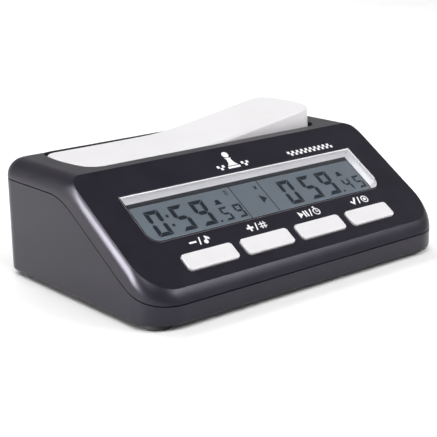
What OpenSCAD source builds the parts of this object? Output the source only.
// Digital chess clock: a wedge-shaped table case with a rocking lever across its deck,
// and a display window above four push buttons on its sloping front panel.
// X runs along the case, Y towards its back and Z up. The table is z = 0.
// On the panel, v is the distance down the slope from the deck and w the depth below its face.

/* [Case] */
// Width of the case
body_w = 150; // [148:1:154]
// Depth of the case
body_d = 99; // [98:1:102]
// Height of the deck above the table
deck_h = 46.6; // [46:0.2:48]
// Where the deck ends and the panel starts, measured back from the middle
deck_front = 2.7; // [2.2:0.1:3.2]
// Angle of the panel below the horizontal
slope = 33.1; // [32.5:0.1:33.5]
// Plan radius of the two front corners
front_corner = 14; // [13:0.5:15]
// Plan radius of the two rear corners
rear_corner = 9; // [8:0.5:10]
// Radius of the rounded upper edge
edge_r = 7; // [6.5:0.5:7.5]
// How much wider the upper edge is rounded along the front
front_stretch = 1.4; // [1.2:0.1:1.5]
// Wall thickness
wall = 1.8; // [1.6:0.1:2]
// Thickness of the floor
floor_t = 2.2; // [2:0.1:2.4]

/* [Seam between cover and base] */
// Height of the seam along the back and sides
seam_rear = 39; // [38:0.5:39.5]
// Height of the seam along the front
seam_front = 9; // [8.5:0.5:10]
// Distance from the panel straight down to the seam
seam_drop = 9.6; // [9:0.2:10]
// Width of the groove at the seam
seam_gap = 0.4; // [0.3:0.1:0.5]

/* [Window and display] */
// Width of the window
win_w = 119.2; // [118:0.2:120]
// Top edge of the window, down the slope
win_top = 14.1; // [13.8:0.1:14.4]
// Bottom edge of the window, down the slope
win_bottom = 38.2; // [38:0.1:38.6]
// Radius of the window's two lower corners
win_corner = 5; // [4:0.5:6]
// Depth of the display's face below the panel
lcd_depth = 3.6; // [3.4:0.1:3.8]

/* [Buttons] */
// Distance between button centres
button_pitch = 27.5; // [27:0.1:28]
// Width of a button
button_w = 23.4; // [23:0.1:24]
// Length of a button down the slope
button_l = 7.5; // [7:0.1:8]
// Centre line of the buttons, down the slope
button_v = 49.75; // [49.5:0.05:50]
// How far the buttons stand proud of the panel
button_proud = 0.9; // [0.8:0.1:1.2]

/* [Rocker] */
// Length of the rocker
rocker_l = 118.6; // [118:0.1:120]
// Depth of the rocker
rocker_d = 34.5; // [34:0.1:35]
// Centre line of the rocker, back from the middle of the case
rocker_y = 27; // [26.8:0.1:27.2]
// Whole swing of the rocker
rocker_swing = 9.2; // [9:0.1:9.4]
// How far the rocker's ends bow outwards
rocker_bow = 2.6; // [2:0.1:3]
// Radius of the rocker's corners
rocker_corner = 6; // [5:0.5:7]
// Gap round the rocker
rocker_gap = 1.2; // [1.1:0.1:1.3]
// Height of the rocker's axle
axle_z = 37; // [36.8:0.1:37.2]
// Diameter of the rocker's axle
axle_d = 3; // [2.8:0.1:3.2]

/* [Battery compartment] */
// Diameter of an AA cell
cell_d = 14.2; // [14:0.1:14.4]
// Length of an AA cell with its button
cell_l = 50.4; // [50:0.1:50.5]

/* [Feet and fasteners] */
// Diameter of a rubber foot
foot_d = 11; // [10:0.5:11]
// Height that the feet lift the case
foot_h = 2.1; // [2:0.1:2.4]
// Diameter of a casing screw's thread
screw_d = 2.6; // [2.4:0.1:2.8]

/* [Hidden] */
$fn = 48;
fine = 0.01;
fit = 0.15;
half_w = body_w / 2;
half_d = body_d / 2;
big = 2 * body_w;
floor_top = foot_h + floor_t;

// Colours
case_black = [0.10, 0.10, 0.12];
key_white = [0.92, 0.91, 0.93];
frame_silver = [0.78, 0.78, 0.80];
lcd_grey = [0.45, 0.50, 0.49];
board_green = [0.05, 0.33, 0.18];
steel = [0.72, 0.73, 0.75];
ink_black = [0.03, 0.03, 0.04];

// Rounded upper edge: the panel face cuts this much below the crown of the rounding
rim_lift = 2.2;
bottom_edge = 1.2;

// Seam: blends from level at the back, down along the panel, to level at the front
seam_blend_rear = 5;
seam_blend_front = 8;
lip_t = 1;
lip_h = 1.6;
function soft(d, k) = pow(max(k - abs(d), 0), 2) / (4 * k);
function smooth_min(a, b, k) = min(a, b) - soft(a - b, k);
function smooth_max(a, b, k) = max(a, b) + soft(a - b, k);
function panel_height(y) = deck_h - (deck_front - y) * tan(slope);
function seam_z(y) =
    smooth_max(seam_front, smooth_min(seam_rear, panel_height(y) - seam_drop, seam_blend_rear),
               seam_blend_front);
seam_stops = concat([-big], [for (y = [-half_d:2.5:-34]) y], [for (y = [-2:2:14]) y], [big]);

// Stack behind the panel, as depths below its face
lens_top = 0.25;
lens_t = 1.1;
frame_rim = 0.6;
frame_flange = 2.6;
lcd_t = 2.2;
lcd_margin = 1.6;
mask_t = 0.2;
mask_strip = 3.6;
board_w = 10;
board_t = 1.6;
board_half = 61.5;
board_v0 = 4;
board_v1 = 55;
board_back = board_w + board_t;
zebra_t = 2;
holder_t = 1.2;
board_posts = [for (x = [-58.6, 58.6], v = [7, 49]) [x, v]];
post_d = 5.4;
board_screw_d = 2;

// Buttons, as offsets from the middle
button_x = [for (i = [0:3]) (i - 1.5) * button_pitch];
button_r = 1.5;
button_fit = 0.3;
button_skirt = 2.6;
button_flange = 1;
switch_size = 6;
switch_h = 3.5;
plunger_d = 3.4;
plunger_fit = 0.1;
plunger_top = 5.5;

// Rocker, modelled level and then tipped so that its left wing lies down
rocker_tip = rocker_swing / 2;
rocker_t = 1.8;
rocker_skirt_z = 40.5;
rocker_crease = 8;
slot_extra = 1;
well_t = 1.8;
well_z = 32.6;
lug_y = 6.5;
lug_t = 3;
lug_d = 6;
ear_t = 1.2;
bracket_w = 7;
bracket_t = 0.8;
bracket_foot = 4.4;
washer_t = 0.5;
washer_gap = 0.05;
axle_fit = 0.05;
ear_y = lug_y + lug_t / 2 + washer_t + 2 * washer_gap;
axle_half = ear_y + ear_t + 0.4;
bracket_screw_y = ear_y + ear_t + bracket_foot / 2;
finger_x = 8;
finger_r = 2;
finger_z = 37.2;
finger_drop = finger_x * sin(rocker_tip);
toggle_board_z = 25.6;
toggle_plunger_l = 6;
toggle_board = [52, 14, 1.6];
toggle_screw_x = 21;
toggle_switch_top = well_z - well_t - 0.3;

// Battery compartment: two cells side by side, running along X
cell_gap = 1;
cell_y = [for (s = [-1, 1]) 25.5 + s * (cell_d + cell_gap) / 2];
door_half = 30;
door_y0 = 9.5;
door_t = 2.3;
door_flange_t = 1;
door_side = 1.4;
door_clear = 0.2;
door_notch = 5.5;
cell_z = foot_h + door_t + door_flange_t + 0.4 + cell_d / 2;
box_t = 1.4;
box_h = 18.5;
box_x = door_half + door_side + door_clear;
contact_t = 0.4;
spring_wire = 0.8;
spring_turns = 4;
spring_ring = 12;

// Casing screws and feet
screw_spots = [[-66, -29, 13], [66, -29, 13], [-58, 38, 20], [58, 38, 20]];
boss_d = 6.4;
head_d = 5;
head_h = 1.9;
head_seat = foot_h + 2.3;
screw_reach = 7;
foot_pocket = 0.6;
foot_spots = [[-66.8, -40.2], [66.8, -40.2], [-67.5, 36], [67.5, 36]];

// Places on the board's back face that the wires reach
red_pad = [-46, 22];
black_pad = [-38, 22];
ribbon_v = 9;
ribbon_t = 0.6;
wire_d = 1.4;

// ---------- Shared shapes ----------

// A point given across the panel, down its slope and below its face
function board_point(x, v, w) =
    [x, deck_front - v * cos(slope) + w * sin(slope), deck_h - v * sin(slope) - w * cos(slope)];

// Places its children in the panel's frame: x across, y up the slope, z out of the face
module on_panel() {
    translate([0, deck_front, deck_h])
        rotate([slope, 0, 0])
            children();
}

// Everything below a plane parallel to the panel, sunk by a depth
module under_panel(sink) {
    on_panel()
        translate([-big, -big, -2 * big - sink])
            cube([2 * big, 2 * big, 2 * big]);
}

// Outline of the case from above, inset evenly but further in at the front
module plan(inset) {
    front_y = front_corner - half_d + inset * (front_stretch - 1);
    rear_y = half_d - rear_corner;
    front_r = front_corner - inset;
    rear_r = rear_corner - inset;
    translate([inset - half_w, front_y])
        square([2 * (half_w - inset), rear_y - front_y]);
    translate([front_corner - half_w, front_y - front_r])
        square([2 * (half_w - front_corner), front_r + 1]);
    translate([rear_corner - half_w, rear_y - 1])
        square([2 * (half_w - rear_corner), rear_r + 1]);
    for (s = [-1, 1]) {
        translate([s * (half_w - front_corner), front_y])
            circle(r = front_r, $fn = 36);
        translate([s * (half_w - rear_corner), rear_y])
            circle(r = rear_r, $fn = 28);
    }
}

// The case's outline raised to the deck and cut by the slope, both lowered by a drop
module capped_plan(inset, drop, z0) {
    intersection() {
        translate([0, 0, z0])
            linear_extrude(deck_h - drop - z0)
                plan(inset);
        under_panel((drop - rim_lift) * cos(slope));
    }
}

// The whole case as a solid, shrunk by t on every side and by b at the floor
module case_form(t, b, steps) {
    r = edge_r - t;
    z0 = foot_h + b;
    intersection() {
        hull() {
            for (k = [0:steps])
                capped_plan(t + r * (1 - cos(90 * k / steps)),
                            t + r * (1 - sin(90 * k / steps)), z0 + bottom_edge);
            translate([0, 0, z0])
                linear_extrude(bottom_edge)
                    plan(t + bottom_edge);
        }
        under_panel(t);
    }
}

// Everything below the seam, raised by a lift
module below_seam(lift) {
    rotate([90, 0, 90])
        linear_extrude(2 * big, center = true)
            polygon(concat([for (y = seam_stops) [y, seam_z(y) + lift]],
                           [[big, -big], [-big, -big]]));
}

// Flat rectangle with four round corners
module round_rect(w, l, r) {
    square([w - 2 * r, l], center = true);
    square([w, l - 2 * r], center = true);
    for (x = [-1, 1], y = [-1, 1])
        translate([x * (w / 2 - r), y * (l / 2 - r)])
            circle(r = r);
}

// Window outline, grown by a margin, with round lower corners
module window_shape(grow) {
    r = win_corner + grow;
    w = win_w / 2 + grow;
    translate([-w, -win_bottom + win_corner])
        square([2 * w, win_bottom - win_corner - win_top + grow]);
    translate([-w + r, -win_bottom - grow])
        square([2 * (w - r), r + fine]);
    for (s = [-1, 1])
        translate([s * (w - r), -win_bottom + win_corner])
            circle(r = r);
}

// Rectangle on the panel, symmetric about X, between two distances down the slope
module panel_rect(half_width, v0, v1) {
    translate([-half_width, -v1])
        square([2 * half_width, v1 - v0]);
}

// A slab in the panel's frame between two depths
module panel_slab(w0, w1) {
    on_panel()
        translate([0, 0, -w1])
            linear_extrude(w1 - w0)
                children();
}

// Tube swept along points; its rings are square to the path and start towards the side vector
module tube(path, r, side, sides = 8) {
    last = len(path) - 1;
    function unit(a) = a / norm(a);
    function along(i) = unit(path[min(i + 1, last)] - path[max(i - 1, 0)]);
    function ring(i) = let (u = unit(cross(along(i), side)), n = cross(u, along(i)))
        [for (k = [0:sides - 1])
            path[i] + r * (cos(360 * k / sides) * u + sin(360 * k / sides) * n)];
    polyhedron(
        points = [for (i = [0:last]) each ring(i)],
        faces = concat(
            [[for (k = [0:sides - 1]) k]],
            [for (i = [0:last - 1], k = [0:sides - 1])
                let (a = i * sides + k, b = i * sides + (k + 1) % sides)
                [a, a + sides, b + sides, b]],
            [[for (k = [sides - 1:-1:0]) last * sides + k]]));
}

// A pan-head screw standing on its thread: the head's seat is at z = 0 and the thread goes up
module screw(d, length, cap_d, cap_h) {
    difference() {
        union() {
            cylinder(d = d, h = length);
            translate([0, 0, -cap_h])
                cylinder(d = cap_d, h = cap_h);
        }
        translate([0, 0, -cap_h - 1])
            for (a = [0, 90])
                rotate(a)
                    translate([-cap_d * 0.3, -0.3, 0])
                        cube([cap_d * 0.6, 0.6, 1 + cap_h * 0.6]);
    }
}

// ---------- Case ----------

module screw_bosses() {
    for (s = screw_spots)
        translate([s[0], s[1], foot_h + fine])
            cylinder(d = boss_d, h = s[2] - foot_h);
}

module battery_box() {
    y0 = door_y0 - door_clear - box_t;
    for (s = [-1, 1])
        translate([s * (box_x + box_t / 2) - box_t / 2, y0, floor_top - 0.5])
            cube([box_t, half_d - wall - y0, box_h - floor_top + 0.5]);
    translate([-box_x - box_t, y0, floor_top - 0.5])
        cube([2 * (box_x + box_t), box_t, box_h - floor_top + 0.5]);
}

// Opening that the battery door closes, from its front edge out through the back wall
module door_opening(clear) {
    translate([-door_half - clear, door_y0 - clear, foot_h - 1])
        cube([2 * (door_half + clear), half_d, 1 + floor_t + fine]);
    translate([-door_half - door_side - clear, half_d - door_notch, foot_h - 1])
        cube([2 * (door_half + door_side + clear), half_d, 1 + door_t + door_flange_t + 2 * clear]);
}

module base_casing() {
    color(case_black)
        difference() {
            union() {
                difference() {
                    union() {
                        intersection() {
                            case_form(0, 0, 5);
                            below_seam(-seam_gap / 2);
                        }
                        intersection() {
                            case_form(wall + fit, floor_t / 2, 3);
                            below_seam(lip_h);
                        }
                    }
                    case_form(wall + fit + lip_t, floor_t, 3);
                }
                screw_bosses();
                battery_box();
            }
            door_opening(door_clear);
            translate([0, 0, well_z - well_t - 0.3])
                linear_extrude(deck_h)
                    rocker_plan(rocker_gap + well_t + 0.3, slot_extra);
            for (s = screw_spots)
                translate([s[0], s[1], 0]) {
                    cylinder(d = screw_d + 0.4, h = s[2] + 1);
                    cylinder(d = head_d + 0.8, h = head_seat);
                }
            for (f = foot_spots)
                translate([f[0], f[1], 0])
                    cylinder(d = foot_d + 0.2, h = foot_h + foot_pocket);
        }
}

// Outline of the rocker from above, grown by a gap and lengthened by an extra
module rocker_plan(gap, extra) {
    half = (rocker_l + extra) / 2;
    bow_r = (pow(rocker_d / 2, 2) + pow(rocker_bow, 2)) / (2 * rocker_bow);
    translate([0, rocker_y])
        offset(r = rocker_corner + gap, $fn = 32)
            offset(delta = -rocker_corner)
                for (s = [-1, 1])
                    intersection() {
                        translate([s * (half - bow_r), 0])
                            circle(r = bow_r, $fn = 180);
                        translate([s * half / 2, 0])
                            square([half + 1, rocker_d], center = true);
                    }
}

// Tub that the rocker sits in, hung under the deck
module rocker_well() {
    translate([0, 0, well_z - well_t])
        linear_extrude(deck_h - wall / 2 - well_z + well_t)
            rocker_plan(rocker_gap + well_t, slot_extra);
}

// Posts for the two boards and the casing screws, moulded onto the inside of the cover
module cover_posts() {
    intersection() {
        post_columns();
        under_panel(wall / 2);
    }
}

module post_columns() {
    on_panel()
        for (p = board_posts)
            translate([p[0], -p[1], -board_w])
                cylinder(d = post_d, h = board_w - wall / 2);
    for (s = [-1, 1])
        translate([s * toggle_screw_x, rocker_y, toggle_board_z + toggle_board[2]])
            cylinder(d = post_d, h = well_z - well_t / 2 - toggle_board_z - toggle_board[2]);
    for (s = screw_spots) {
        top = s[1] > 0 ? well_z - well_t / 2 : panel_height(s[1]) + boss_d / 2;
        translate([s[0], s[1], s[2] + 0.1])
            cylinder(d = boss_d, h = top - s[2]);
    }
}

module cover_cuts() {
    translate([0, 0, well_z])
        linear_extrude(deck_h)
            rocker_plan(rocker_gap, slot_extra);
    on_panel()
        translate([0, 0, -wall * 2])
            linear_extrude(wall * 4)
                window_shape(0);
    on_panel()
        for (x = button_x)
            translate([x, -button_v, -wall * 2])
                linear_extrude(wall * 4)
                    round_rect(button_w + 2 * button_fit, button_l + 2 * button_fit,
                               button_r + button_fit);
    on_panel()
        for (p = board_posts)
            translate([p[0], -p[1], -board_w - 1])
                cylinder(d = board_screw_d - 0.3, h = 7);
    for (s = screw_spots)
        translate([s[0], s[1], s[2] - 1])
            cylinder(d = screw_d - 0.4, h = 8);
    for (s = [-1, 1]) {
        translate([0, rocker_y + s * bracket_screw_y, well_z - big / 2])
            cylinder(d = board_screw_d - 0.3, h = big);
        translate([s * toggle_screw_x, rocker_y, toggle_board_z])
            cylinder(d = board_screw_d - 0.3, h = 7);
        translate([s * finger_x, rocker_y, toggle_board_z])
            cylinder(d = plunger_d + 0.8, h = well_z);
    }
}

module top_cover() {
    color(case_black)
        difference() {
            union() {
                difference() {
                    case_form(0, 0, 5);
                    case_form(wall, 0, 3);
                    below_seam(seam_gap / 2);
                }
                rocker_well();
                cover_posts();
            }
            cover_cuts();
        }
}

// ---------- Window and display ----------

module window_frame() {
    color(frame_silver)
        difference() {
            union() {
                panel_slab(0.05, wall + 0.5)
                    window_shape(-fit);
                panel_slab(wall + 0.1, lcd_depth - mask_t)
                    window_shape(frame_flange);
            }
            panel_slab(-1, lcd_depth + 1)
                window_shape(-frame_rim);
        }
}

module display_lens() {
    color([0.9, 0.93, 0.95, 0.35])
        panel_slab(lens_top, lens_top + lens_t)
            window_shape(-frame_rim - fine);
}

module lcd_mask() {
    color(ink_black)
        panel_slab(lcd_depth - mask_t, lcd_depth)
            difference() {
                panel_rect(win_w / 2 + lcd_margin, win_top - lcd_margin, win_bottom + lcd_margin);
                panel_rect(win_w / 2 - frame_rim, win_top + mask_strip, win_bottom - frame_rim);
            }
}

module lcd_glass() {
    color(lcd_grey)
        panel_slab(lcd_depth, lcd_depth + lcd_t)
            panel_rect(win_w / 2 + lcd_margin, win_top - lcd_margin, win_bottom + lcd_margin);
}

module lcd_holder() {
    half = win_w / 2 + lcd_margin + fit;
    v0 = win_top - lcd_margin - fit;
    v1 = win_bottom + lcd_margin + fit;
    color([0.16, 0.16, 0.18])
        panel_slab(lcd_depth + 0.1, board_w)
            difference() {
                panel_rect(half + holder_t, v0 - holder_t, v1 + holder_t);
                panel_rect(half, v0, v1);
            }
}

module zebra_strips() {
    color([0.55, 0.55, 0.60])
        for (v = [win_top, win_bottom - zebra_t])
            panel_slab(lcd_depth + lcd_t, board_w)
                panel_rect(win_w / 2 - 3, v, v + zebra_t);
}

// ---------- Electronics ----------

module main_board() {
    color(board_green)
        difference() {
            panel_slab(board_w, board_back)
                panel_rect(board_half, board_v0, board_v1);
            on_panel()
                for (p = board_posts)
                    translate([p[0], -p[1], -board_back - 1])
                        cylinder(d = board_screw_d + 0.2, h = board_t + 2);
        }
}

// A block on the back of the main board
module board_block(x, v, size) {
    on_panel()
        translate([x - size[0] / 2, -v - size[1] / 2, -board_back - size[2]])
            cube(size);
}

module controller_chip() {
    legs = 8;
    leg_pitch = 1.27;
    color(ink_black) {
        board_block(0, 26, [13, 13, 2]);
        for (i = [0:legs - 1], s = [-1, 1]) {
            along = (i - (legs - 1) / 2) * leg_pitch;
            board_block(along, 26 + s * 7.2, [0.5, 1.5, 0.6]);
            board_block(s * 7.2, 26 + along, [1.5, 0.5, 0.6]);
        }
    }
}

module crystal() {
    color(steel)
        on_panel()
            translate([16, -22, -board_back - 1.5])
                rotate([0, 90, 0]) {
                    cylinder(d = 3, h = 8);
                    for (s = [-0.6, 0.6])
                        translate([0, s, -3])
                            cylinder(d = 0.5, h = 3.2);
                }
}

module capacitors() {
    color([0.12, 0.15, 0.35])
        on_panel()
            for (x = [26, 34])
                translate([x, -31, -board_back - 7])
                    cylinder(d = 5, h = 7);
}

module buzzer() {
    color(ink_black)
        on_panel()
            translate([46, -22, -board_back - 6.5])
                difference() {
                    cylinder(d = 12, h = 6.5);
                    translate([0, 0, -1])
                        cylinder(d = 2, h = 3);
                }
}

module button_switches() {
    color([0.2, 0.2, 0.22])
        on_panel()
            for (x = button_x)
                translate([x, -button_v, -board_w])
                    difference() {
                        translate([-switch_size / 2, -switch_size / 2, 0])
                            cube([switch_size, switch_size, switch_h]);
                        translate([0, 0, 0.8])
                            cylinder(d = plunger_d + 2 * plunger_fit, h = switch_h);
                    }
}

// ---------- Buttons ----------

module panel_button(i) {
    color(key_white)
        on_panel()
            translate([button_x[i], -button_v, 0]) {
                translate([0, 0, -button_skirt])
                    linear_extrude(button_skirt + button_proud)
                        round_rect(button_w, button_l, button_r);
                translate([0, 0, -button_skirt - button_flange])
                    linear_extrude(button_flange + fine)
                        round_rect(button_w + 2, button_l + 2, button_r + 1);
                translate([0, 0, -plunger_top])
                    cylinder(d = 4.4, h = plunger_top - button_skirt);
            }
}

module button_plunger(i) {
    color(ink_black)
        on_panel()
            translate([button_x[i], -button_v, -board_w + switch_h - 1.4])
                cylinder(d = plunger_d, h = board_w - switch_h + 1.4 - plunger_top);
}

// ---------- Rocker ----------

// Height of the rocker's face above its crease, which is gently rounded
function wing(x) = tan(rocker_tip) * (sqrt(x * x + rocker_crease * rocker_crease) - rocker_crease);

module below_wings(sink) {
    reach = rocker_l / 2 + 4;
    step = 4;
    translate([0, rocker_y, deck_h - sink])
        rotate([90, 0, 0])
            linear_extrude(2 * rocker_d, center = true)
                polygon(concat([for (x = [-reach:step:reach]) [x, wing(x)]],
                               [[reach, -big], [-reach, -big]]));
}

module tipped() {
    translate([0, 0, axle_z])
        rotate([0, -rocker_tip, 0])
            translate([0, 0, -axle_z])
                children();
}

module rocker_lugs() {
    for (s = [-1, 1])
        translate([0, rocker_y + s * lug_y, 0]) {
            translate([-lug_d / 2, -lug_t / 2, axle_z])
                cube([lug_d, lug_t, deck_h - axle_z - rocker_t / 2]);
            translate([0, 0, axle_z])
                rotate([90, 0, 0])
                    cylinder(d = lug_d, h = lug_t, center = true);
        }
}

module rocker_fingers() {
    for (s = [-1, 1])
        translate([s * finger_x, rocker_y, finger_z]) {
            sphere(r = finger_r);
            cylinder(r = finger_r, h = deck_h - finger_z - rocker_t / 2);
        }
}

module rocker() {
    color(key_white)
        tipped()
            difference() {
                union() {
                    difference() {
                        intersection() {
                            translate([0, 0, rocker_skirt_z])
                                linear_extrude(deck_h)
                                    rocker_plan(0, 0);
                            below_wings(0);
                        }
                        intersection() {
                            translate([0, 0, rocker_skirt_z - 1])
                                linear_extrude(deck_h)
                                    rocker_plan(-rocker_t, 0);
                            below_wings(rocker_t);
                        }
                    }
                    rocker_lugs();
                    rocker_fingers();
                }
                translate([0, rocker_y, axle_z])
                    rotate([90, 0, 0])
                        cylinder(d = axle_d + 2 * axle_fit, h = 4 * lug_y, center = true);
            }
}

// Pressed U-shaped bracket on the well's floor, whose two ears hold the axle
module axle_bracket() {
    reach = ear_y + ear_t;
    color(steel)
        difference() {
            union() {
                translate([-bracket_w / 2, rocker_y - reach - bracket_foot, well_z])
                    cube([bracket_w, 2 * (reach + bracket_foot), bracket_t]);
                for (s = [-1, 1])
                    translate([0, rocker_y + s * (ear_y + ear_t / 2), 0]) {
                        translate([-bracket_w / 2, -ear_t / 2, well_z])
                            cube([bracket_w, ear_t, axle_z - well_z]);
                        translate([0, 0, axle_z])
                            rotate([90, 0, 0])
                                cylinder(d = bracket_w, h = ear_t, center = true);
                    }
            }
            translate([0, rocker_y, axle_z])
                rotate([90, 0, 0])
                    cylinder(d = axle_d, h = rocker_d, center = true);
            for (s = [-1, 1])
                translate([0, rocker_y + s * bracket_screw_y, well_z - 1])
                    cylinder(d = board_screw_d + 0.2, h = bracket_t + 2);
        }
}

module rocker_axle() {
    color(steel)
        translate([0, rocker_y, axle_z])
            rotate([90, 0, 0])
                cylinder(d = axle_d, h = 2 * axle_half, center = true);
}

module axle_washers() {
    color([0.85, 0.82, 0.72])
        for (s = [-1, 1])
            translate([0, rocker_y + s * (lug_y + lug_t / 2 + washer_gap + washer_t / 2), axle_z])
                rotate([90, 0, 0])
                    difference() {
                        cylinder(d = 6, h = washer_t, center = true);
                        cylinder(d = axle_d + 0.1, h = 1, center = true);
                    }
}

module toggle_board() {
    color(board_green)
        difference() {
            translate([-toggle_board[0] / 2, rocker_y - toggle_board[1] / 2, toggle_board_z])
                cube(toggle_board);
            for (s = [-1, 1])
                translate([s * toggle_screw_x, rocker_y, toggle_board_z - 1])
                    cylinder(d = board_screw_d + 0.2, h = toggle_board[2] + 2);
        }
}

module toggle_switches() {
    base = toggle_board_z + toggle_board[2];
    color([0.2, 0.2, 0.22])
        for (s = [-1, 1])
            translate([s * finger_x, rocker_y, base])
                difference() {
                    translate([-switch_size / 2, -switch_size / 2, 0])
                        cube([switch_size, switch_size, toggle_switch_top - base]);
                    translate([0, 0, 0.6])
                        cylinder(d = plunger_d + 2 * plunger_fit, h = 10);
                }
}

// A plunger that follows the rocker's finger: the left one is held down at rest
module toggle_plunger(s) {
    low = finger_z - finger_r - finger_drop - 0.05;
    top = s < 0 ? low : low + 2 * finger_drop;
    color(ink_black)
        translate([s * finger_x, rocker_y, top - toggle_plunger_l])
            cylinder(d = plunger_d, h = toggle_plunger_l);
}

// Flat cable from under the small board's front edge to the back of the main board
module toggle_ribbon() {
    y0 = rocker_y - toggle_board[1] / 2 + 1.5;
    pad = board_point(0, ribbon_v, board_back + ribbon_t / 2);
    stops = [[y0, toggle_board_z - ribbon_t / 2], [y0, toggle_board_z - 2.6],
             [pad[1] + 1.8, toggle_board_z - 2.6], [pad[1], pad[2]]];
    color([0.70, 0.70, 0.72])
        rotate([90, 0, 90])
            linear_extrude(9, center = true)
                for (i = [0:2])
                    hull()
                        for (p = [stops[i], stops[i + 1]])
                            translate(p)
                                circle(d = ribbon_t, $fn = 16);
}

// ---------- Batteries ----------

// An AA cell lying along X with its button towards +X
module cell() {
    nub_l = 1.4;
    rotate([0, 90, 0])
        translate([0, 0, -cell_l / 2]) {
            cylinder(d = cell_d, h = cell_l - nub_l);
            cylinder(d = 5.4, h = cell_l);
        }
}

module front_cell() {
    color([0.75, 0.45, 0.12])
        translate([0, cell_y[0], cell_z])
            cell();
}

module rear_cell() {
    color([0.75, 0.45, 0.12])
        translate([0, cell_y[1], cell_z])
            rotate(180)
                cell();
}

// Cone-shaped coil on the end wall at x = wall_x, pressing towards the middle
module cone_spring(wall_x, y) {
    gap = box_x - contact_t - cell_l / 2;
    rings = spring_turns * spring_ring;
    dir = wall_x < 0 ? 1 : -1;
    path = [for (i = [0:rings])
        let (t = i / rings, a = 360 * spring_turns * t, r = 5 - 2.6 * t)
        [wall_x + dir * (spring_wire / 2 + fine + t * (gap - spring_wire - 2 * fine)),
         y + r * cos(a), cell_z + r * sin(a)]];
    tube(path, spring_wire / 2, [1, 0, 0], 6);
}

module battery_springs() {
    color(steel) {
        cone_spring(-box_x + contact_t, cell_y[0]);
        cone_spring(box_x - contact_t, cell_y[1]);
    }
}

// Sprung plates on the end walls: a bridge on the right, and two terminals on the left
module battery_contacts() {
    plate_h = 11;
    plate_w = 11;
    gap = box_x - contact_t - cell_l / 2;
    z0 = cell_z - plate_h / 2;
    color(steel) {
        translate([box_x - contact_t, cell_y[0] - plate_w / 2, z0])
            cube([contact_t, cell_y[1] - cell_y[0] + plate_w, plate_h]);
        for (y = cell_y)
            translate([-box_x, y - plate_w / 2, z0])
                cube([contact_t, plate_w, plate_h]);
        translate([box_x - contact_t - gap + fine, cell_y[0], cell_z])
            rotate([0, 90, 0])
                cylinder(d1 = 4, d2 = 8, h = gap + contact_t / 2);
        translate([-box_x + contact_t / 2, cell_y[1], cell_z])
            rotate([0, 90, 0])
                cylinder(d1 = 8, d2 = 4, h = gap + contact_t / 2 - fine);
    }
}

// A lead from a terminal's top edge, out over the box wall, to the back of the main board
module lead(y, pad, shade) {
    start = [-box_x + contact_t / 2, y, cell_z + 5.5 + fine];
    over = box_h + 1.5;
    color(shade)
        tube([
            start, start + [0, 0, 0.5], [start[0] - 0.6, y - 0.4, over - 0.6],
            [start[0] - 2, y - 1.6, over], [pad[0] + 0.6, y - 5, over],
            [pad[0], 10, over], [pad[0], 4, over - 0.4],
            board_point(pad[0], pad[1], board_back + 6), board_point(pad[0], pad[1], board_back + 2),
            board_point(pad[0], pad[1], board_back + fine)
        ], wire_d / 2, [0.3, 0.1, 1]);
}

module red_wire() {
    lead(cell_y[1], red_pad, [0.75, 0.08, 0.06]);
}

module black_wire() {
    lead(cell_y[0], black_pad, [0.05, 0.05, 0.05]);
}

module battery_door() {
    grip_ribs = 5;
    color(case_black)
        difference() {
            union() {
                translate([-door_half, door_y0, foot_h])
                    cube([2 * door_half, half_d - door_y0, door_t]);
                translate([-door_half - door_side, door_y0, foot_h + door_t])
                    cube([2 * (door_half + door_side), half_d - door_y0, door_flange_t]);
                translate([-door_half - door_side, half_d - wall, foot_h])
                    cube([2 * (door_half + door_side), wall, door_t + fine]);
            }
            for (i = [0:grip_ribs - 1])
                translate([-9, half_d - 14 + i * 2, foot_h - 1])
                    cube([18, 1, 1.6]);
        }
}

// ---------- Fasteners and feet ----------

module casing_screws() {
    color(steel)
        for (s = screw_spots)
            translate([s[0], s[1], head_seat])
                screw(screw_d - 0.4, s[2] - head_seat + screw_reach - 1, head_d, head_h);
}

module board_screws() {
    color(steel)
        on_panel()
            for (p = board_posts)
                translate([p[0], -p[1], -board_back])
                    screw(board_screw_d - 0.3, 6, 3.8, 1.3);
}

module bracket_screws() {
    color(steel)
        for (s = [-1, 1])
            translate([0, rocker_y + s * bracket_screw_y, well_z + bracket_t])
                rotate([180, 0, 0])
                    screw(board_screw_d - 0.3, bracket_t + well_t, 3.4, 1.2);
}

module toggle_screws() {
    color(steel)
        for (s = [-1, 1])
            translate([s * toggle_screw_x, rocker_y, toggle_board_z])
                screw(board_screw_d - 0.3, 6, 3.8, 1.3);
}

module foot(i) {
    color(ink_black)
        translate([foot_spots[i][0], foot_spots[i][1], 0])
            rotate_extrude()
                polygon([
                    [0, 0], [foot_d / 2 - 0.8, 0], [foot_d / 2, 0.8],
                    [foot_d / 2, foot_h + foot_pocket], [0, foot_h + foot_pocket]
                ]);
}

base_casing();
top_cover();
display_lens();
window_frame();
lcd_mask();
lcd_glass();
lcd_holder();
zebra_strips();
main_board();
controller_chip();
crystal();
capacitors();
buzzer();
button_switches();
panel_button(0);  // minus_button
panel_button(1);  // plus_button
panel_button(2);  // play_button
panel_button(3);  // confirm_button
button_plunger(0);  // minus_plunger
button_plunger(1);  // plus_plunger
button_plunger(2);  // play_plunger
button_plunger(3);  // confirm_plunger
rocker();
axle_bracket();
rocker_axle();
axle_washers();
toggle_board();
toggle_switches();
toggle_plunger(-1);  // left_toggle_plunger
toggle_plunger(1);  // right_toggle_plunger
toggle_ribbon();
front_cell();
rear_cell();
battery_springs();
battery_contacts();
red_wire();
black_wire();
battery_door();
casing_screws();
board_screws();
bracket_screws();
toggle_screws();
foot(0);  // front_left_foot
foot(1);  // front_right_foot
foot(2);  // rear_left_foot
foot(3);  // rear_right_foot
